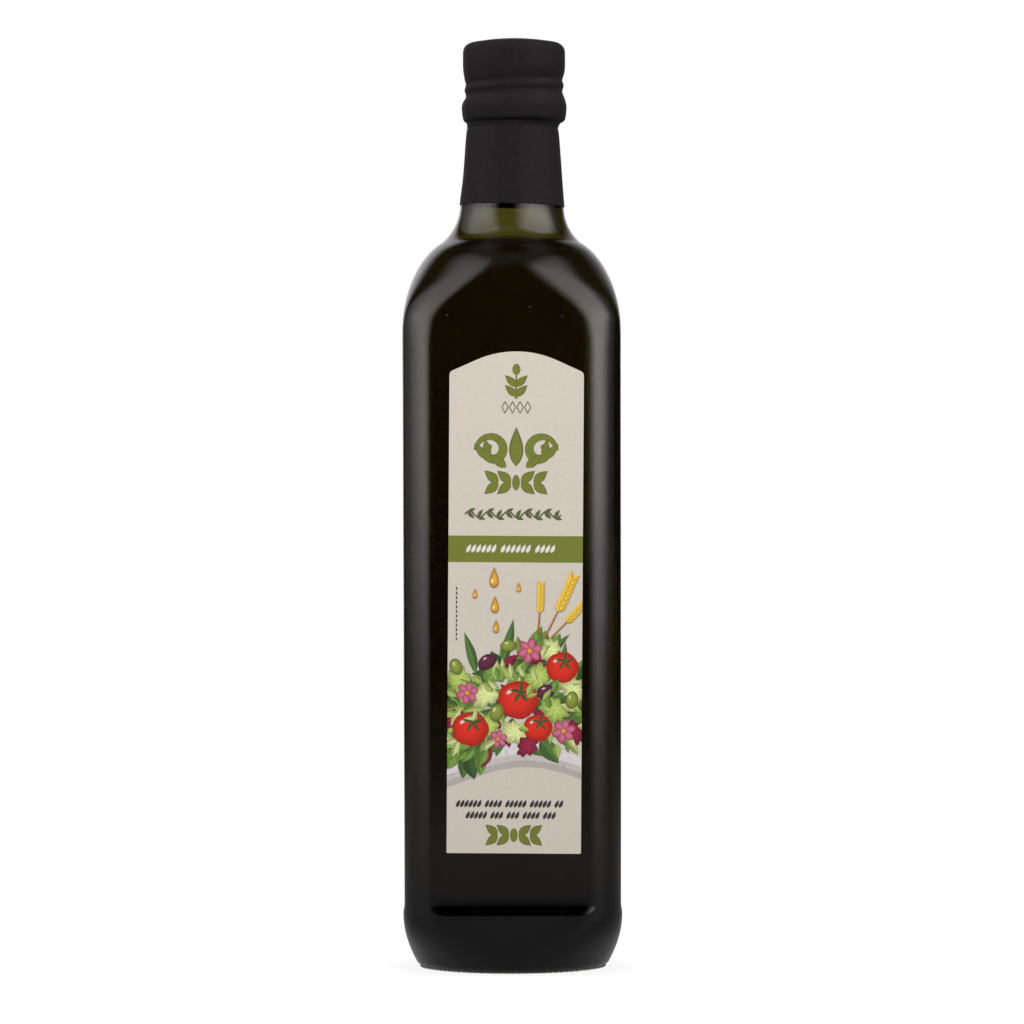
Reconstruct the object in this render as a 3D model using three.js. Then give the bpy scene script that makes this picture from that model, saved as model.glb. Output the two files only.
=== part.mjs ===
// Olive oil bottle: a square bottle of dark green glass with a round neck, the oil inside it,
// a black shrink capsule over the mouth and neck, and a paper label with an arched top.
// Millimetres, +Z up, the front faces -Y, and the origin is at the centre of the base.
import * as THREE from 'three';

// Heights of the bottle's levels
const BAND_TOP = 18.6;
const PANEL_FOOT = 21.6;
const SHOULDER_FOOT = 192;
const ARCH_FOOT = 199.7;
const ARCH_TOP = 223.4;
const FLARE_FOOT = 225.5;
const FLARE_TOP = 237.7;
const NECK_TOP = 261;
const MOUTH = 284.4;

// Body section: a square with round corners, whose four label panels lie a little deeper
const BODY_HALF = 34.1;
const BODY_TAPER = 0.35;
const CORNER = 12.8;
const PANEL_CREASE = THREE.MathUtils.degToRad(14.7);
const SOFT_CREASE = THREE.MathUtils.degToRad(3);
const CORNER_STEPS = 8;

// Base: a round bearing ring under a two-arc heel, and a shallow hollow inside the ring
const RING_OUTER = 26.6;
const RING_INNER = 25;
const HOLLOW_DEPTH = 2.6;
const HEEL_RADIUS = 4;
const HEEL_LEAN = THREE.MathUtils.degToRad(26);
const HEEL_STEPS = 7;

// Shoulder, flare and neck
const FLARE_HALF = 22.4;
const FLARE_RADIUS = 15.25;
const SHOULDER_PULL = 13;
const FLARE_PULL = 9.6;
const FLARE_LEAN = THREE.MathUtils.degToRad(56);
const NECK_RADIUS = 15.95;
const FINISH_RADIUS = 13.1;
const BORE_RADIUS = 9.3;
const RIM_ROUND = 1.1;

// Glass thickness, and the rounding where the inside meets its floor
const WALL = 3;
const NECK_WALL = 3.9;
const FLOOR = 7;
const FLOOR_ROUND = 7;

// The oil fills the glass up to its level. Pieces keep this clearance where they touch.
const OIL_LEVEL = 225.1;
const CLEARANCE = 0.3;

// Capsule over the mouth and neck, from its crown down to the skirt's edge
const CAPSULE_TOP = 289.6;
const CROWN_DROP = 1.25;
const CROWN_EDGE = 3;
const CAP_RADIUS = 15.95;
const GROOVE_RADIUS = 15.1;
const BEAD_RADIUS = 15.5;
const BULGE_RADIUS = 16.4;
const WAIST_RADIUS = 14.2;
const SKIRT_RADIUS = 16.6;
const BEAD = 274.3;
const BEAD_TILT = 0.7;
const CAP_SHIFT = 0.6;
const BULGE = 268;
const WAIST = 261.6;
const SKIRT_EDGE = 237.3;
const SKIRT_WALL = 0.35;
const CAPSULE_SIDES = 40;

// Label: arched paper, glued a little right of the middle and a third of a degree askew
const LABEL_WIDTH = 41.1;
const LABEL_FOOT = 37.4;
const LABEL_APEX = 190.9;
const LABEL_ARCH_RADIUS = 30;
const LABEL_ARCH_HALF = 12;
const LABEL_ROUND = 1.1;
const LABEL_PAPER = 0.15;
const LABEL_OFFSET = 0.5;
const LABEL_LEAN = THREE.MathUtils.degToRad(0.33);

const ROUND_CREASE = Math.PI / 4 / (CORNER_STEPS + 1);

function blend(low, high, share) {
  return low + (high - low) * share;
}

// One level of the bottle. half reaches from the axis to the tangent of the corner arcs,
// corner is their radius, and crease the angle at which they meet the flat panels.
function level(z, half, corner, crease) {
  return { z, half, corner, crease };
}

function roundLevel(z, radius) {
  return level(z, radius, radius, ROUND_CREASE);
}

// A level's points, counterclockwise from above: four corner arcs with the flats between.
function sectionPoints({ z, half, corner, crease }) {
  const centre = half - corner;
  const points = [];
  for (let quarter = 0; quarter < 4; quarter += 1) {
    const turn = new THREE.Matrix4().makeRotationZ(quarter * Math.PI / 2);
    for (let step = 0; step <= CORNER_STEPS; step += 1) {
      const angle = blend(crease, Math.PI / 2 - crease, step / CORNER_STEPS);
      const x = centre + corner * Math.cos(angle);
      const y = centre + corner * Math.sin(angle);
      points.push(new THREE.Vector3(x, y, z).applyMatrix4(turn));
    }
  }
  return points;
}

// A closed skin over a stack of levels, with a fan to the axis at each end.
function loft(levels) {
  const rings = levels.map(sectionPoints);
  const count = rings[0].length;
  const points = rings.flat();
  const first = points.push(new THREE.Vector3(0, 0, levels[0].z)) - 1;
  const last = points.push(new THREE.Vector3(0, 0, levels[levels.length - 1].z)) - 1;
  const faces = [];
  for (let side = 0; side < count; side += 1) {
    const next = (side + 1) % count;
    faces.push(first, next, side);
    for (let low = 0; low + count < first; low += count) {
      const high = low + count;
      faces.push(low + side, low + next, high + next);
      faces.push(low + side, high + next, high + side);
    }
    faces.push(last, first - count + side, first - count + next);
  }
  const geometry = new THREE.BufferGeometry().setFromPoints(points);
  geometry.setIndex(faces);
  geometry.computeVertexNormals();
  return geometry;
}

// The body narrows a little towards its base.
function bodyHalf(z) {
  return BODY_HALF - BODY_TAPER * (1 - z / SHOULDER_FOOT);
}

// Distance from the axis to the flat of a label panel.
function panelFace(z) {
  return bodyHalf(z) - CORNER * (1 - Math.cos(PANEL_CREASE));
}

// On the heel the section goes from the round bearing ring to the square of the body.
function heelLevel(z, half) {
  const square = THREE.MathUtils.smoothstep(z, -2, BAND_TOP);
  return level(z, half, blend(half, CORNER, square), blend(ROUND_CREASE, SOFT_CREASE, square));
}

// Heel: a short arc off the bearing ring, then a long one up into the base band.
function heelLevels() {
  const levels = [];
  for (const share of [0, 0.25, 0.5, 0.75]) {
    const angle = share * (Math.PI / 2 - HEEL_LEAN);
    const z = HEEL_RADIUS * (1 - Math.cos(angle));
    levels.push(heelLevel(z, RING_OUTER + HEEL_RADIUS * Math.sin(angle)));
  }
  const foot = HEEL_RADIUS * (1 - Math.sin(HEEL_LEAN));
  const footHalf = RING_OUTER + HEEL_RADIUS * Math.cos(HEEL_LEAN);
  for (let step = 0; step <= HEEL_STEPS; step += 1) {
    const angle = HEEL_LEAN * (1 - step / HEEL_STEPS);
    const out = (Math.cos(angle) - Math.cos(HEEL_LEAN)) / (1 - Math.cos(HEEL_LEAN));
    const up = 1 - Math.sin(angle) / Math.sin(HEEL_LEAN);
    levels.push(heelLevel(blend(foot, BAND_TOP, up), blend(footHalf, bodyHalf(BAND_TOP), out)));
  }
  return levels;
}

// The step from the base band in to the panels, which is a short slope.
function panelFootLevels() {
  return [0.3, 0.7, 1].map((share) => {
    const z = blend(BAND_TOP, PANEL_FOOT, share);
    const deep = THREE.MathUtils.smoothstep(share, 0, 1);
    return level(z, bodyHalf(z), CORNER, blend(SOFT_CREASE, PANEL_CREASE, deep));
  });
}

// Shoulder: the panels lean in on one curve while the corners round off, so that each
// panel ends in an arch and the section above it is a circle.
function shoulderLevels(steps) {
  const foot = new THREE.Vector2(BODY_HALF, SHOULDER_FOOT);
  const footPull = new THREE.Vector2(0, SHOULDER_PULL).add(foot);
  const top = new THREE.Vector2(FLARE_HALF, FLARE_FOOT);
  const topPull = new THREE.Vector2(FLARE_PULL, -FLARE_PULL / Math.tan(FLARE_LEAN)).add(top);
  const curve = new THREE.CubicBezierCurve(foot, footPull, topPull, top);
  return curve.getSpacedPoints(steps).map(({ x: half, y: z }) => {
    const corner = blend(CORNER, half, THREE.MathUtils.smoothstep(z, ARCH_FOOT, ARCH_TOP));
    const panelEnd = THREE.MathUtils.smoothstep(z, SHOULDER_FOOT, blend(ARCH_FOOT, ARCH_TOP, 0.5));
    return level(z, half, corner, blend(PANEL_CREASE, ROUND_CREASE, panelEnd));
  });
}

// Flare: the hollow arc from the shoulder up into the neck.
function flareLevels(steps) {
  const levels = [];
  for (let step = 1; step <= steps; step += 1) {
    const z = blend(FLARE_FOOT, FLARE_TOP, step / steps);
    const rise = FLARE_TOP - z;
    const hollow = FLARE_RADIUS - Math.sqrt(FLARE_RADIUS ** 2 - rise ** 2);
    levels.push(roundLevel(z, NECK_RADIUS + hollow));
  }
  return levels;
}

// The inside of the glass from its floor to the top of the flare: the outside moved in
// by the glass, which gets thicker towards the neck. gap moves it further in.
function cavityLevels(gap) {
  const outside = [...shoulderLevels(9), ...flareLevels(5)];
  const wallLevels = outside.map((here, index) => {
    const before = outside[Math.max(index - 1, 0)];
    const after = outside[Math.min(index + 1, outside.length - 1)];
    const run = new THREE.Vector2(after.half - before.half, after.z - before.z).normalize();
    const depth = gap + blend(WALL, NECK_WALL, index / (outside.length - 1));
    const half = here.half - depth * run.y;
    return level(here.z + depth * run.x, half, half - (here.half - here.corner), here.crease);
  });
  const half = wallLevels[0].half - BODY_TAPER;
  const centre = BODY_HALF - CORNER;
  const floorLevels = [0, 0.33, 0.67, 1].map((share) => {
    const angle = share * Math.PI / 2;
    const z = FLOOR + gap + FLOOR_ROUND * (1 - Math.cos(angle));
    const inward = FLOOR_ROUND * (1 - Math.sin(angle));
    return level(z, half - inward, Math.max(half - inward - centre, 1), PANEL_CREASE);
  });
  return [...floorLevels, ...wallLevels];
}

function glassGeometry() {
  return loft([
    roundLevel(HOLLOW_DEPTH, RING_INNER * 0.5),
    roundLevel(HOLLOW_DEPTH * 0.6, RING_INNER * 0.85),
    roundLevel(0, RING_INNER),
    ...heelLevels(),
    ...panelFootLevels(),
    ...shoulderLevels(14),
    ...flareLevels(7),
    roundLevel(NECK_TOP, FINISH_RADIUS),
    roundLevel(MOUTH - RIM_ROUND, FINISH_RADIUS),
    roundLevel(MOUTH, FINISH_RADIUS - RIM_ROUND),
    roundLevel(MOUTH, BORE_RADIUS + RIM_ROUND),
    roundLevel(MOUTH - RIM_ROUND, BORE_RADIUS),
    roundLevel(NECK_TOP, BORE_RADIUS),
    ...cavityLevels(0).reverse(),
  ]);
}

// The oil stops level inside the shoulder, so its last level lies between two of the glass.
function oilGeometry() {
  const levels = cavityLevels(CLEARANCE);
  const above = levels.findIndex(({ z }) => z > OIL_LEVEL);
  const low = levels[above - 1];
  const high = levels[above];
  const share = (OIL_LEVEL - low.z) / (high.z - low.z);
  const half = blend(low.half, high.half, share);
  const corner = blend(low.corner, high.corner, share);
  const surface = level(OIL_LEVEL, half, corner, blend(low.crease, high.crease, share));
  return loft([...levels.slice(0, above), surface]);
}

// The crown is a low dome that turns down over a round edge.
function crownOutline() {
  const points = [new THREE.Vector2(0, CAPSULE_TOP)];
  const edgeHalf = CAP_RADIUS - CROWN_EDGE;
  for (const share of [0.5, 0.8]) {
    points.push(new THREE.Vector2(edgeHalf * share, CAPSULE_TOP - CROWN_DROP * share ** 2));
  }
  for (const share of [0, 0.25, 0.5, 0.75, 1]) {
    const angle = share * Math.PI / 2;
    const x = edgeHalf + CROWN_EDGE * Math.sin(angle);
    points.push(new THREE.Vector2(x, CAPSULE_TOP - CROWN_DROP - CROWN_EDGE * (1 - Math.cos(angle))));
  }
  return points;
}

// Below the crown: the cap's wall, a bead between two grooves, the bulge of the cap's
// lower edge, the waist under it and the skirt that widens down the neck.
function sideOutline() {
  const wall = new THREE.SplineCurve([
    new THREE.Vector2(CAP_RADIUS, CAPSULE_TOP - CROWN_DROP - CROWN_EDGE),
    new THREE.Vector2(CAP_RADIUS, BEAD + 6.3),
    new THREE.Vector2(blend(GROOVE_RADIUS, CAP_RADIUS, 0.55), BEAD + 3.6),
    new THREE.Vector2(GROOVE_RADIUS, BEAD + 1.7),
    new THREE.Vector2(BEAD_RADIUS, BEAD),
    new THREE.Vector2(GROOVE_RADIUS, BEAD - 2),
    new THREE.Vector2(blend(GROOVE_RADIUS, BULGE_RADIUS, 0.7), BULGE + 2.1),
    new THREE.Vector2(BULGE_RADIUS, BULGE),
    new THREE.Vector2(blend(WAIST_RADIUS, BULGE_RADIUS, 0.78), BULGE - 3.6),
    new THREE.Vector2(blend(WAIST_RADIUS, BULGE_RADIUS, 0.2), BULGE - 4.8),
    new THREE.Vector2(WAIST_RADIUS, WAIST),
  ]);
  const skirt = new THREE.SplineCurve([
    new THREE.Vector2(WAIST_RADIUS, WAIST),
    new THREE.Vector2(blend(WAIST_RADIUS, SKIRT_RADIUS, 0.2), blend(WAIST, SKIRT_EDGE, 0.13)),
    new THREE.Vector2(blend(WAIST_RADIUS, SKIRT_RADIUS, 0.62), blend(WAIST, SKIRT_EDGE, 0.65)),
    new THREE.Vector2(SKIRT_RADIUS, SKIRT_EDGE),
  ]);
  return [...wall.getPoints(32).slice(1), ...skirt.getPoints(8).slice(1)];
}

// Inside, the capsule follows the neck and closes just above the mouth of the glass.
function neckOutline() {
  return [
    new THREE.Vector2(SKIRT_RADIUS - SKIRT_WALL, SKIRT_EDGE),
    new THREE.Vector2(NECK_RADIUS + CLEARANCE, FLARE_TOP + 0.5),
    new THREE.Vector2(FINISH_RADIUS + CLEARANCE, NECK_TOP + 0.5),
    new THREE.Vector2(FINISH_RADIUS + CLEARANCE, MOUTH + CLEARANCE),
    new THREE.Vector2(0, MOUTH + CLEARANCE),
  ];
}

// The cap sits a little right of the neck's axis, and the film lies askew over it, so
// its bead and grooves are higher on the right.
function settleFilm(geometry) {
  const position = geometry.attributes.position;
  for (let index = 0; index < position.count; index += 1) {
    const x = position.getX(index);
    const z = position.getZ(index);
    const radius = Math.hypot(x, position.getY(index));
    const outside = radius > WAIST_RADIUS || z > MOUTH + 2 * CLEARANCE;
    if (outside) {
      const reach = 1 - THREE.MathUtils.smoothstep(Math.abs(z - BEAD), 2, 6);
      position.setX(index, x + CAP_SHIFT * THREE.MathUtils.smoothstep(z, WAIST, WAIST + 3));
      position.setZ(index, z + BEAD_TILT * reach * x / Math.max(radius, 1));
    }
  }
  geometry.computeVertexNormals();
}

function capsuleGeometry() {
  const outline = [...crownOutline(), ...sideOutline(), ...neckOutline()].reverse();
  const geometry = new THREE.LatheGeometry(outline, CAPSULE_SIDES);
  geometry.rotateX(Math.PI / 2);
  settleFilm(geometry);
  return geometry;
}

// The label's outline: straight sides, small round corners and a low arch on two slopes.
function labelShape() {
  const half = LABEL_WIDTH / 2;
  const height = LABEL_APEX - LABEL_FOOT;
  const archDrop = LABEL_ARCH_RADIUS - Math.sqrt(LABEL_ARCH_RADIUS ** 2 - LABEL_ARCH_HALF ** 2);
  const archAngle = Math.asin(LABEL_ARCH_HALF / LABEL_ARCH_RADIUS);
  const slope = Math.tan(archAngle);
  const slopeFoot = height - archDrop - (half - LABEL_ROUND - LABEL_ARCH_HALF) * slope;
  const shape = new THREE.Shape();
  shape.moveTo(LABEL_ROUND - half, 0);
  shape.lineTo(half - LABEL_ROUND, 0);
  shape.quadraticCurveTo(half, 0, half, LABEL_ROUND);
  shape.lineTo(half, slopeFoot - LABEL_ROUND);
  shape.quadraticCurveTo(half, slopeFoot - LABEL_ROUND * slope, half - LABEL_ROUND, slopeFoot);
  shape.absarc(0, height - LABEL_ARCH_RADIUS, LABEL_ARCH_RADIUS,
    Math.PI / 2 - archAngle, Math.PI / 2 + archAngle, false);
  shape.lineTo(LABEL_ROUND - half, slopeFoot);
  shape.quadraticCurveTo(-half, slopeFoot - LABEL_ROUND * slope, -half, slopeFoot - LABEL_ROUND);
  shape.lineTo(-half, LABEL_ROUND);
  shape.quadraticCurveTo(-half, 0, LABEL_ROUND - half, 0);
  return shape;
}

function labelGeometry() {
  const options = { depth: LABEL_PAPER, bevelEnabled: false, curveSegments: 10 };
  const geometry = new THREE.ExtrudeGeometry(labelShape(), options);
  geometry.rotateX(Math.PI / 2);
  return geometry;
}

function part(name, geometry, color, roughness) {
  const material = new THREE.MeshStandardMaterial({ color, roughness, metalness: 0 });
  const mesh = new THREE.Mesh(geometry, material);
  mesh.name = name;
  return mesh;
}

const bottle = new THREE.Group();
bottle.add(part('glass_bottle', glassGeometry(), 0x2b2c10, 0.05));
bottle.add(part('oil', oilGeometry(), 0x40310a, 0.1));
bottle.add(part('capsule', capsuleGeometry(), 0x242325, 0.6));

const label = part('front_label', labelGeometry(), 0xd6cdbe, 0.8);
label.position.set(LABEL_OFFSET, -panelFace(LABEL_FOOT) - CLEARANCE, LABEL_FOOT);
label.rotation.set(Math.atan(BODY_TAPER / SHOULDER_FOOT), LABEL_LEAN, 0);
bottle.add(label);

export default bottle;
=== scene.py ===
"""Olive oil bottle: the looks of the glass, the oil, the black capsule and the printed label."""
import math
import random

import bmesh
import bpy
import numpy as np
from mathutils import Matrix, Vector


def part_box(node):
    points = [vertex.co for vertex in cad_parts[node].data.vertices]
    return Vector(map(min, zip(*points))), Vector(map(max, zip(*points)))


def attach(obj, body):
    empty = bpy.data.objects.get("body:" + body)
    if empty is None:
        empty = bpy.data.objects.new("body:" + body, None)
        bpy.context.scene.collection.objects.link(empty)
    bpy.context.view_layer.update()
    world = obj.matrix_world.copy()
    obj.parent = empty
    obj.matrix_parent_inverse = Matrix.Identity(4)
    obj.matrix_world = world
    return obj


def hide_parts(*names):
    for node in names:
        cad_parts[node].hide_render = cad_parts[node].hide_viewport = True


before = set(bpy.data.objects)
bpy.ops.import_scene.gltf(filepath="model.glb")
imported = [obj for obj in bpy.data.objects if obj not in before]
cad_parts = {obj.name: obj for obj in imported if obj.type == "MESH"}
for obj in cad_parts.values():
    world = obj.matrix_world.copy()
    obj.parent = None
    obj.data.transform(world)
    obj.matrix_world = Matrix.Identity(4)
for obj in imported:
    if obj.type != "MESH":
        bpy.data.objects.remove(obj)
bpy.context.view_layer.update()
scene = bpy.context.scene

MM = 0.001
GLASS_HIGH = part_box("glass_bottle")[1]
OIL_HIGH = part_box("oil")[1]
CAPSULE_LOW, CAPSULE_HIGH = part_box("capsule")
LABEL_LOW, LABEL_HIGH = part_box("front_label")

# Camera of the photograph, level with the middle of the bottle
CAMERA_DISTANCE = 1562.5 * MM
CAMERA_HEIGHT = 141.8 * MM
CAMERA_LENS = 175.8
CAMERA_ROLL = math.radians(0.13)

# Glass: levels up the bottle, half widths and radii, nearly all of them as in its solid
MOUTH = GLASS_HIGH[2]
BAND_TOP = 18.3 * MM
PANEL_FOOT = 21.3 * MM
SHOULDER_FOOT = 192 * MM
ARCH_FOOT = 199.7 * MM
ARCH_TOP = 223.4 * MM
FLARE_FOOT = 225.5 * MM
FLARE_TOP = 237.7 * MM
NECK_TOP = 261 * MM
BODY_TAPER = 0.35 * MM
BODY_HALF = GLASS_HIGH[0] + BODY_TAPER * (1 - BAND_TOP / SHOULDER_FOOT)
CORNER = 12.8 * MM
PANEL_CREASE = math.radians(14.7)
CREASE_SOFT = 0.13 * MM
RING_OUTER = 26.6 * MM
RING_INNER = 25 * MM
HOLLOW_DEPTH = 2.6 * MM
HEEL_RADIUS = 4 * MM
HEEL_LEAN = math.radians(26)
HEEL_ROUND = -2 * MM
FLARE_HALF = 22.4 * MM
FLARE_RADIUS = 15.25 * MM
SHOULDER_PULL = 13 * MM
FLARE_PULL = 9.6 * MM
FLARE_LEAN = math.radians(56)
NECK_RADIUS = 16.2 * MM
FINISH_RADIUS = 13.1 * MM
BORE_RADIUS = 9.3 * MM
RIM_ROUND = 1.1 * MM
WALL = 3 * MM
NECK_WALL = 3.9 * MM
NECK_SHIFT = 0.45 * MM
NECK_SHIFT_TOP = FLARE_TOP + 12 * MM
FLOOR = 7 * MM
FLOOR_ROUND = 7 * MM
FLOOR_SQUARE = 30 * MM
GLASS_SIDES = 256
GLASS_WAVE = 0.02 * MM
GLASS_INSET = 0.03 * MM
SHOULDER_STEPS = 90
NUBS = 92
NUB_ANGLE = math.radians(30)
NUB_SIZE = (0.45 * MM, 0.45 * MM, 0.5 * MM)

# Small bubbles in the front of the glass, shown as opaque pale specks that are painted glints: x and z
# in millimetres
BUBBLES = ((-6.7, 219.4), (7.6, 217.2), (-19.8, 202.1), (15.4, 201.8), (5.6, 204.6))
BUBBLE_SIZE = (0.13 * MM, 0.08 * MM, 0.16 * MM)
BUBBLE_SEARCH_SIDES = 1440

# Oil: its level, how far it reaches into the wall, how it creeps up the glass, its surface's
# rings in millimetres from the glass, and how clear it is at some heights, up to 1 at its level; the
# near-black at its floor is painted shade
OIL_LEVEL = OIL_HIGH[2]
OIL_OVERLAP = 0.12 * MM
MENISCUS = 0.7 * MM
MENISCUS_REACH = 1.4 * MM
MENISCUS_RINGS = (0, 0.2, 0.5, 0.9, 1.4, 2.2, 3.5, 6, 12)
OIL_SIDES = 160
OIL_SEE_THROUGH_AND_SHADE = ((14 * MM, 0.05), (40 * MM, 0.55), (150 * MM, 0.55))

# Capsule: outer radii and levels, from the crown down to the skirt's edge
CAPSULE_TOP = CAPSULE_HIGH[2]
SKIRT_EDGE = CAPSULE_LOW[2]
CROWN_DROP = 1.25 * MM
CROWN_EDGE = 3 * MM
CAP_RADIUS = 15.95 * MM
GROOVE_RADIUS = 15.1 * MM
BEAD_RADIUS = 15.5 * MM
BULGE_RADIUS = 16.4 * MM
WAIST_RADIUS = 14.2 * MM
SKIRT_RADIUS = 16.4 * MM
FILM = 0.1 * MM
BEAD = 274.3 * MM
BEAD_TILT = 0.7 * MM
CAP_SHIFT = 0.5 * MM
SKIRT_TILT = 0.36 * MM
BULGE = 268 * MM
WAIST = 261.6 * MM
CAPSULE_SIDES = 288
FILM_WAVE = 0.04 * MM
FILM_CREASE = 0.015 * MM
VENT_HEIGHT = 284.1 * MM
VENT_OFFSET = 0.9 * MM
VENT_SIZE = (0.32 * MM, 0.12 * MM, 0.32 * MM)

# Label
LABEL_WIDTH = 41.1 * MM
LABEL_FOOT = 37.4 * MM
LABEL_HEIGHT = 153.5 * MM
LABEL_ARCH_RADIUS = 30 * MM
LABEL_ARCH_HALF = 12 * MM
LABEL_ROUND = 1.1 * MM
LABEL_FOOT_ROUND = 0.4 * MM
LABEL_GLUE = 0.01 * MM
LABEL_PAPER = 0.12 * MM
LABEL_OFFSET = 0.28 * MM
LABEL_LEAN = math.radians(0.49)
PRINT_HALF = LABEL_WIDTH / 2 / MM
INK_GAP = 0.004 * MM
INK_LAYER = 0.0003 * MM
LEAF_STEPS = 12
SCROLL_STEPS = 44
SWOOSH_STEPS = 40

# Colours of the materials, linear, and how far up and down their fine grain goes
GLASS_TINT = (0.484, 0.469, 0.091)
OIL_TINT = (0.58, 0.50, 0.25)
FILM_BLACK = (0.0118, 0.0108, 0.0113)
# The near-black of the vent hole's speck is painted shade.
VENT_SHADE_BLACK = (0.003, 0.003, 0.003)
# The pale of the bubble specks is a painted glint.
PAINTED_GLINT_PALE = (0.2, 0.19, 0.15)
PAPER_CREAM = (0.70, 0.635, 0.545)
GRAIN_SPAN = (0.3, 0.7)

# Inks, as linear colours on the paper
GREEN = (0.18, 0.21, 0.034)
GREEN_EDGE = (0.105, 0.125, 0.03)
DARK_OLIVE = (0.10, 0.115, 0.045)
CHARCOAL = (0.035, 0.035, 0.035)
PAPER_WHITE = (0.82, 0.80, 0.74)
LEAF_DARK = (0.035, 0.085, 0.022)
LEAF_DEEP = (0.07, 0.15, 0.035)
LEAF_MID = (0.15, 0.27, 0.05)
LEAF_LIGHT = (0.33, 0.43, 0.10)
LEAF_PALE = (0.52, 0.58, 0.24)
TOMATO_RED = (0.75, 0.035, 0.018)
GLEAM_RED = (0.75, 0.28, 0.2)
MAGENTA = (0.42, 0.03, 0.10)
PETAL_PALE = (0.66, 0.22, 0.32)
LEAF_WINE = (0.20, 0.014, 0.04)
FRUIT_PURPLE = (0.10, 0.02, 0.045)
FRUIT_GREEN = (0.25, 0.30, 0.05)
GOLD = (0.90, 0.52, 0.06)
GOLD_DARK = (0.42, 0.14, 0.02)

# The printed picture: places on the label in millimetres, turns in degrees, and sizes
SWOOSH_BANDS = (
    (4.2, 2.6, (0.50, 0.46, 0.41)),
    (2.4, 2.4, (0.62, 0.58, 0.56)),
    (0.9, 2.0, (0.78, 0.75, 0.74)),
)
LONG_LEAVES = (
    ((-12, 55), 100, 13), ((-4, 58), 70, 14), ((6, 58), 35, 14),
    ((13, 50), 75, 15), ((-16, 46), 125, 11),
)
BLOSSOMS = (((-14.5, 49), 3.4), ((4.5, 62), 3.8), ((15, 37.5), 3.6), ((-5, 35), 2.8))
FRILLS = (
    ((-17, 53), 4.6, LEAF_LIGHT), ((-9, 48.5), 4.8, LEAF_PALE), ((7, 54), 4.6, LEAF_LIGHT),
    ((18, 50), 4.2, LEAF_PALE), ((-6, 55), 4, LEAF_MID), ((0, 37), 4.6, LEAF_PALE),
    ((12, 44), 4.4, LEAF_LIGHT), ((-19, 41), 4, LEAF_WINE), ((11, 62), 3.8, LEAF_PALE),
    ((18, 37), 4, LEAF_WINE), ((-8, 39), 3.8, LEAF_LIGHT), ((4, 33), 3.6, LEAF_WINE),
)
TOMATOES = (((-13.5, 38), 5.6), ((1, 47), 6.2), ((14.5, 57), 5), ((7.2, 38.5), 4.4))
OLIVES = (
    ((-8.5, 58.5), 35, 6, FRUIT_PURPLE), ((-5.5, 43), 70, 5.6, FRUIT_GREEN),
    ((9.5, 49.5), 20, 5.8, FRUIT_PURPLE), ((-18, 57), 110, 5.2, FRUIT_GREEN),
    ((17.5, 47), 80, 5.4, FRUIT_GREEN), ((-2, 63.5), 10, 5, FRUIT_GREEN),
)
WHEAT_EARS = (((9, 66), 62, 20), ((11, 66), 44, 15), ((7, 67), 84, 15))
DROPS = (
    ((-6.5, 84.5), 6.4), ((-6.2, 76.2), 5.4), ((-5.8, 69.5), 4.2),
    ((1, 81.5), 3.2), ((-12.3, 79.5), 3.2),
)

# Studio lamps high on both sides in front of the bottle, in metres and watts
KEY_PLACE = (0.5, -0.6, 0.62)
KEY_TARGET = (0, 0, 0.15)
KEY_SIZE = 0.35
KEY_POWER = 4.5

# Softboxes that the glass mirrors. Each part has a strength, the degrees round from the camera
# where its near edge is gone and full, and the same for its far edge. The fade and the tops
# are degrees up the box, where it is weakest and where it is full.
BOX_TURN = math.radians(58)
BOX_WIDENING = -0.9
BOX_FADE = (75, 20)
RIGHT_BOX = ((3, (0, 47), (90, 51)), (0.43, (0, 47), (115, 80)))
LEFT_BOX = ((2.3, (25, 57), (120, 50)), (0.3, (25, 57), (146, 117)))
RIGHT_BOX_TOP = (73, 65)
LEFT_BOX_TOP = (74.5, 66)

# The rest of the studio: the degrees where each light is weakest and full, and then the reach
# of the floor's painted shadow and how far back the floor turns white, as seen through the glass, with
# painted shade nearer the bottle
HORIZON = (-4.6, 1.6)
FLOOR_EDGE = (-2, -4.6)
CEILING_FRONT = (55, 68)
CEILING_BACK = (86, 74)
WALL_LEFT = (142, 156)
WALL_RIGHT = (138, 178)
WALL_TOP = (49, 34)
SEEN_THROUGH = (130, 160)
FILL_RISE = (-30, 40)
FLOOR_SHADE_REACH = 15 * MM
FLOOR_WHITENS = (0.1, 0.35)


def blend(low, high, share):
    return low + (high - low) * share


def ease(value, low, high):
    """0 at low, 1 at high, and smooth between them."""
    share = np.clip((value - low) / (high - low), 0, 1)
    return share * share * (3 - 2 * share)


def ripple(angle, height, seed, waves, turns):
    """A smooth random unevenness between about -1 and 1, round the axis and along it."""
    draw = random.Random(seed)
    swell = 0
    for _ in range(waves):
        round_waves = draw.randint(*turns)
        long_waves = draw.uniform(-1, 1) * 100
        swell = swell + np.sin(round_waves * angle + long_waves * height + draw.uniform(0, math.tau))
    return swell / math.sqrt(waves)


def in_scene(name, data):
    """A new object of the scene, for a mesh, lamp or camera."""
    made = bpy.data.objects.new(name, data)
    scene.collection.objects.link(made)
    return made


def columns(*values):
    return np.stack(values, axis=1)


def whole_turn(count):
    """Even angles all the way round."""
    return np.arange(count) * math.tau / count


def mesh_object(name, points, faces):
    mesh = bpy.data.meshes.new(name)
    mesh.from_pydata([tuple(point) for point in points], [], faces)
    mesh.shade_smooth()
    return in_scene(name, mesh)


def loft(name, rings):
    """A closed skin over rings of points, with a fan to the axis at each end."""
    sides = len(rings[0])
    points = np.concatenate([*rings, [rings[0].mean(axis=0)], [rings[-1].mean(axis=0)]])
    first = len(rings) * sides
    faces = []
    for side in range(sides):
        ahead = (side + 1) % sides
        for low in range(0, first - sides, sides):
            high = low + sides
            faces.append((low + side, low + ahead, high + ahead, high + side))
        faces.append((first, ahead, side))
        faces.append((first + 1, first - sides + side, first - sides + ahead))
    return mesh_object(name, points, faces)


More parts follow.
